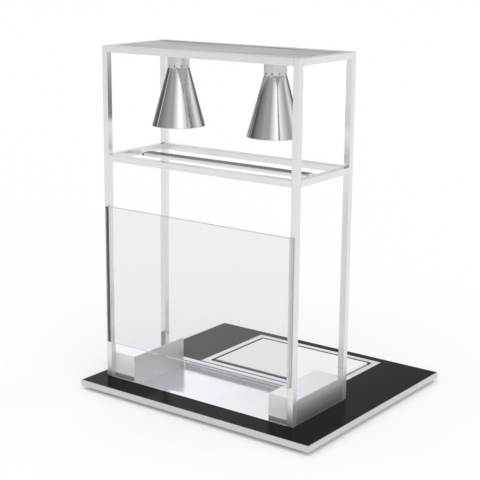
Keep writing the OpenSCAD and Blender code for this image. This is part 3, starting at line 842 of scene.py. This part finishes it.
class StationLamps(bpy.types.Operator):
    """Spins the two shades with a rolled edge and blows their two bulbs"""

    bl_idname = "station.lamps"
    bl_label = "Heat lamps"

    def execute(self, context):
        low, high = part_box("shade_left")
        middle = (low + high) / 2
        centre = (middle.x, middle.y)
        to_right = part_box("shade_right")[0] - low
        left = turned("shade_left_spinning", self.shade_profile(low, high), centre, 128)
        right = copy_piece(left, "shade_right_spinning", to_right)
        for shade, name in ((left, "shade_left"), (right, "shade_right")):
            settle(shade, name)
        profile, waist = self.bulb_profile()
        left = turned("bulb_left_blown", profile, centre, 96)
        right = copy_piece(left, "bulb_right_blown", to_right)
        # Silver laid on inside the glass: a clear, bright mirror.
        shine = context.scene.station_colours.shade
        coat = polished("Silvered reflector", shine, 60, 4, (0.03, 0.07), METAL)
        for bulb, name in ((left, "bulb_left"), (right, "bulb_right")):
            settle(bulb, name)
            refinish(bulb, coat, lambda face: face.center.z > waist + 6 * MM)
        return {"FINISHED"}

    def shade_profile(self, low, high):
        """Outside, rolled edge and inside of a shade, from the hole in its crown and back to it."""
        mouth = (high.x - low.x) / 2
        neck = (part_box("collar_left")[1].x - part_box("collar_left")[0].x) / 2
        hole = 19.3 * MM  # lets the holder through
        wall = 1.2 * MM
        bead = 1.3 * MM
        turns = [math.radians(20 - 20 * k) for k in range(15)]
        roll = [(mouth - bead + bead * math.cos(t), low.z + bead + bead * math.sin(t)) for t in turns]
        return [
            (hole, high.z), (neck - 1.2 * MM, high.z), (neck - 0.4 * MM, high.z - 0.3 * MM),
            (neck, high.z - 1.2 * MM), *roll, (mouth - 2 * wall, low.z + 3 * bead),
            (neck - wall, high.z - wall), (hole, high.z - wall), (hole, high.z),
        ]

    def bulb_profile(self):
        """A reflector bulb from its cap to the middle of its face, and the height of its widest part."""
        base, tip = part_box("bulb_left")
        cap_r, cap_h = 13.5 * MM, 24 * MM  # the cap inside the holder
        face_r = (tip.x - base.x) / 2
        length = tip.z - base.z - cap_h
        waist = base.z + 0.2 * length
        angles = [math.pi * k / 24 for k in range(25)]
        flare = [
            (cap_r + (face_r - cap_r) * (1 - math.cos(t)) / 2, waist + 0.8 * length * (1 - t / math.pi))
            for t in angles
        ]
        dome = [(face_r * math.cos(t), waist - 0.2 * length * math.sin(t)) for t in angles[1:13]]
        return [(0, tip.z), (cap_r - 1 * MM, tip.z), (cap_r, tip.z - 1 * MM), *flare, *dome], waist


class StationLightBar(bpy.types.Operator):
    """Rounds the light bar, paints its top dark grey and sets a plug in its front"""

    bl_idname = "station.light_bar"
    bl_label = "Light bar"

    def execute(self, context):
        low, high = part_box("bar_housing")
        housing = copy_node("bar_housing", "profile")

        def long_edge(a, b):
            return near(a.y, b.y) and near(a.z, b.z) and (near(a.y, low.y) or near(a.y, high.y))

        bevel_edges(housing, long_edge, context.scene.station_sizes.tube_edge)
        smooth(housing)
        settle(housing, "bar_housing")
        # Painted reflection: the top face dark grey with a weak, soft gloss, for the dark backdrop that the
        # top mirrors.
        dark_top = moulded("Dark top, painted reflection", context.scene.station_colours.bar, 0.35, 1, 0.01, 1.25)
        refinish(housing, dark_top, lambda face: face.normal.z > FACING and near(face.center.z, high.z))
        plug = turned("plug_pattern", [
            (0, 1.1 * MM), (1.2 * MM, 1.1 * MM), (1.6 * MM, 1.5 * MM), (2.6 * MM, 1.4 * MM), (3 * MM, 1 * MM),
            (3 * MM, 0), (0, 0),
        ], (0, 0), 32)
        spot = (low.x + 5.5 * MM, low.y, (low.z + high.z) / 2)
        bush = copy_piece(plug, "bar_plug", spot, (0, -1, 0))
        bpy.data.objects.remove(plug)
        join_as("bar_plug", [bush], finish_of("feet"), "station")
        return {"FINISHED"}


def bar_mark(name, centre, face, out, start, end, width):
    """A printed stroke on a face that looks along +Y, from one radius to another."""
    clear_selection()
    bpy.ops.mesh.primitive_cube_add(size=1)
    mark = bpy.context.object
    mark.name = name
    mark.scale = (width, 0.12 * MM, end - start)
    mark.rotation_euler = (0, math.atan2(out.x, out.z), 0)
    mark.location = centre + out * (start + end) / 2
    mark.location.y = face
    bpy.ops.object.transform_apply(location=True, rotation=True, scale=True)
    bevel_edges(mark, lambda a, b: near(a.y, b.y) and a.y > face, 0.04 * MM, 1)
    return mark


def number_mark(name, text, place, face, height):
    """A printed number on a face that looks along +Y."""
    clear_selection()
    bpy.ops.object.text_add()
    mark = bpy.context.object
    mark.name = name
    mark.data.body = text
    mark.data.size = height
    mark.data.align_x = "CENTER"
    mark.data.align_y = "CENTER"
    mark.data.extrude = 0.06 * MM
    bpy.ops.object.convert(target="MESH")
    mark.rotation_euler = (math.pi / 2, 0, math.pi)
    mark.location = (place.x, face, place.z)
    bpy.ops.object.transform_apply(location=True, rotation=True, scale=True)
    bpy.ops.object.mode_set(mode="EDIT")
    bpy.ops.mesh.select_all(action="SELECT")
    bpy.ops.mesh.remove_doubles(threshold=0.001 * MM)
    bpy.ops.mesh.dissolve_limited(angle_limit=math.radians(0.5))
    even_triangles(mark)
    return mark


def white_paint(context):
    """Filled-in paint: an even, half-dull white that stands out on the black plastic."""
    return moulded("White paint", context.scene.station_colours.mark, 0.5, 1, 0.01)


class StationKnob(bpy.types.Operator):
    """Rounds the heat knob, inlays its pointer and prints its dial on the left pedestal"""

    bl_idname = "station.knob"
    bl_label = "Heat knob and dial"

    def execute(self, context):
        low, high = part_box("heat_knob")
        middle = (low + high) / 2
        pointer = 1 * MM  # how far the pointer stands out of the grip's face
        skirt = 4 * MM    # height of the wide skirt behind the grip

        def outer_edge(level, inside):
            def test(a, b):
                on_level = near(a.y, level) and near(b.y, level)
                return on_level and min(math.hypot(p.x - middle.x, p.z - middle.z) for p in (a, b)) > inside
            return test

        knob = copy_node("heat_knob", "moulding")
        bevel_edges(knob, outer_edge(high.y - pointer, 11 * MM), 0.5 * MM)
        bevel_edges(knob, outer_edge(low.y + skirt, 18.9 * MM), 0.4 * MM)
        bevel_edges(knob, outer_edge(high.y, 0), 0.3 * MM)
        even_triangles(knob)
        smooth(knob)
        settle(knob, "heat_knob")
        # Screen-printed ink: dull near-black with a hardly raised edge.
        ink = moulded("Screen-print ink", context.scene.station_colours.print, 0.6, 1, 0.01)
        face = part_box("pedestal_left")[1].y
        tick_start, tick_end, tick_width = 21.5 * MM, 25 * MM, 0.9 * MM
        number_out, number_height = 29.5 * MM, 5.5 * MM
        marks = []
        for step in range(7):
            turn = math.radians(45 * step)
            out = Vector((-math.sin(turn), 0, math.cos(turn)))
            marks.append(bar_mark(f"dial_tick_{step}", middle, face, out, tick_start, tick_end, tick_width))
            spot = middle + out * number_out
            marks.append(number_mark(f"dial_number_{step}", str(step), spot, face, number_height))
        join_as("dial_marks", marks, ink, "station")
        line = bar_mark("knob_pointer_line", middle, high.y, Vector(UP), 3 * MM, 13.5 * MM, 1.1 * MM)
        join_as("knob_pointer_line", [line], white_paint(context), "knob")
        return {"FINISHED"}


class StationSwitches(bpy.types.Operator):
    """Rounds the two rockers and prints their I and O marks"""

    bl_idname = "station.switches"
    bl_label = "Rocker switches"

    def execute(self, context):
        height = 0.1 * MM
        inner, outer = 1.5 * MM, 2.1 * MM
        ring = turned("off_pattern", [
            (inner, 0), (outer, 0), (outer, height), (inner, height), (inner, 0),
        ], (0, 0), 40)
        clear_selection()
        size = (0.7 * MM, 4.4 * MM, height)
        bpy.ops.mesh.primitive_cube_add(size=1, location=(0, 0, height / 2), scale=size)
        stroke = context.object
        bpy.ops.object.transform_apply(location=True, rotation=True, scale=True)
        bevel_edges(stroke, lambda a, b: near(a.z, b.z) and a.z > 0.5 * height, 0.04 * MM, 1)
        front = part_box("pedestal_right")[1].y
        for name in ["rocker_lamps", "rocker_heat"]:
            rocker = copy_node(name, "moulding")
            # The key's two halves are its largest faces, and the pressed one, off at rest, lies deeper.
            halves = sorted(
                (f for f in rocker.data.polygons if f.normal.y > 0.8), key=lambda f: f.area, reverse=True
            )[:2]
            halves.sort(key=lambda f: f.center.y)
            places = [(f.center.copy(), f.normal.copy()) for f in halves]
            bevel_edges(rocker, lambda a, b: a.y > front and b.y > front, 0.4 * MM)
            smooth(rocker)
            settle(rocker, name)
            for pattern, (spot, way), word in zip((ring, stroke), places, ("off", "on")):
                mark = copy_piece(pattern, f"{name}_{word}_mark", spot, way)
                join_as(mark.name, [mark], white_paint(context), BODY_OF[name])
        for pattern in (ring, stroke):
            bpy.data.objects.remove(pattern)
        return {"FINISHED"}


class StationScrews(bpy.types.Operator):
    """Models one button-head screw with a hexagon socket and sets its copies"""

    bl_idname = "station.screws"
    bl_label = "Screws"

    def execute(self, context):
        r = context.scene.station_sizes.screw / 2
        screw = turned("screw_pattern", [
            (0, 0.62 * r), (0.45 * r, 0.6 * r), (0.75 * r, 0.5 * r), (0.94 * r, 0.3 * r), (r, 0.08 * r),
            (r, 0), (0, 0),
        ], (0, 0), 30)
        clear_selection()
        middle = (0, 0, 0.65 * r)
        bpy.ops.mesh.primitive_cylinder_add(vertices=6, radius=0.42 * r, depth=0.8 * r, location=middle)
        key = context.object
        socket = screw.modifiers.new("socket", "BOOLEAN")
        socket.operation = "DIFFERENCE"
        socket.object = key
        choose(screw)
        bpy.ops.object.modifier_apply(modifier=socket.name)
        bpy.data.objects.remove(key)
        smooth(screw)
        # Plated and passivated: a bright, clear mirror on each small head.
        plating = context.scene.station_colours.steel
        zinc = polished("Bright zinc-plated screw", plating, 60, 4, (0.03, 0.07), METAL)
        groups = {
            "pan_screws": self.under_base(),
            "bracket_screws": self.on_brackets(),
            "pedestal_screws": self.on_pedestals(),
        }
        for name, places in groups.items():
            copies = [copy_piece(screw, name, spot, way) for spot, way in places]
            join_as(name, copies, zinc, "station")
        bpy.data.objects.remove(screw)
        return {"FINISHED"}

    def under_base(self):
        """Places under the base band, four along each long side and three along each short one."""
        low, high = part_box("base_rim")
        inset = 8 * MM
        rows = (low.y + inset, high.y - inset)
        columns = (low.x + inset, high.x - inset)
        spots = [(share * high.x, y) for share in (-0.8, -0.27, 0.27, 0.8) for y in rows]
        spots += [(x, share * high.y) for share in (-0.6, 0, 0.6) for x in columns]
        return [((x, y, low.z), DOWN) for x, y in spots]

    def on_brackets(self):
        """Places on the inner faces of the light bar's brackets, two on each."""
        low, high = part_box("bar_brackets")
        plate = 3 * MM
        inset = 3 * MM
        return [
            ((x, y, (low.z + high.z) / 2), way)
            for x, way in ((low.x + plate, (1, 0, 0)), (high.x - plate, (-1, 0, 0)))
            for y in (low.y + inset, high.y - inset)
        ]

    def on_pedestals(self):
        """Places low on the rear of the pedestals, clear of the fittings there."""
        places = []
        for name, first, last in (("pedestal_left", 31 * MM, 91 * MM), ("pedestal_right", 8 * MM, 68 * MM)):
            low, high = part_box(name)
            places += [((low.x + along, high.y, low.z + 8 * MM), (0, 1, 0)) for along in (first, last)]
        return places


class StationFeet(bpy.types.Operator):
    """Turns the four rubber feet with a ribbed side and a recess for their screw"""

    bl_idname = "station.feet"
    bl_label = "Feet"

    def execute(self, context):
        low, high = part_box("feet")
        top = high.z
        r = 15 * MM
        recess = 4.6 * MM
        profile = [
            (0, top), (r, top), (r, 0.75 * top), (r - 0.8 * MM, 0.68 * top), (r - 0.5 * MM, 0.5 * top),
            (r - 1.4 * MM, 0.36 * top), (r - 1.4 * MM, 0.1 * top), (r - 2.2 * MM, 0), (recess + 0.4 * MM, 0),
            (recess, 0.4 * MM), (recess, 0.5 * top), (0, 0.5 * top),
        ]
        feet = turned("feet_turned", profile, (low.x + r, low.y + r), 48)
        across = high.x - low.x - 2 * r
        back = high.y - low.y - 2 * r
        steps = ((across, 0, 0), (0, back, 0), (across, back, 0))
        others = [copy_piece(feet, "foot_copy", step) for step in steps]
        choose(feet, *others)
        bpy.ops.object.join()
        settle(feet, "feet")
        return {"FINISHED"}


class StationPanel(bpy.types.Panel):
    """Lists the steps of the station"""

    bl_idname = "VIEW3D_PT_station"
    bl_label = "Carving station"
    bl_space_type = "VIEW_3D"
    bl_region_type = "UI"
    bl_category = "Station"

    def draw(self, context):
        for step in STEPS:
            self.layout.operator(step.bl_idname)


STEPS = [
    StationStage, StationFinishes, StationTubes, StationSheetwork, StationGlass, StationBoard, StationLamps,
    StationLightBar, StationKnob, StationSwitches, StationScrews, StationFeet,
]
CLASSES = [StationColours, StationSizes, *STEPS, StationPanel]


def register():
    """Registers the classes and puts the properties on the scene."""
    for cls in CLASSES:
        bpy.utils.register_class(cls)
    bpy.types.Scene.station_colours = bpy.props.PointerProperty(type=StationColours)
    bpy.types.Scene.station_sizes = bpy.props.PointerProperty(type=StationSizes)


def unregister():
    """Takes the properties and the classes away again."""
    del bpy.types.Scene.station_sizes
    del bpy.types.Scene.station_colours
    for cls in reversed(CLASSES):
        bpy.utils.unregister_class(cls)


def main():
    """Runs each step in order."""
    register()
    for step in STEPS:
        group, name = step.bl_idname.split(".")
        getattr(getattr(bpy.ops, group), name)()


if __name__ == "__main__":
    main()
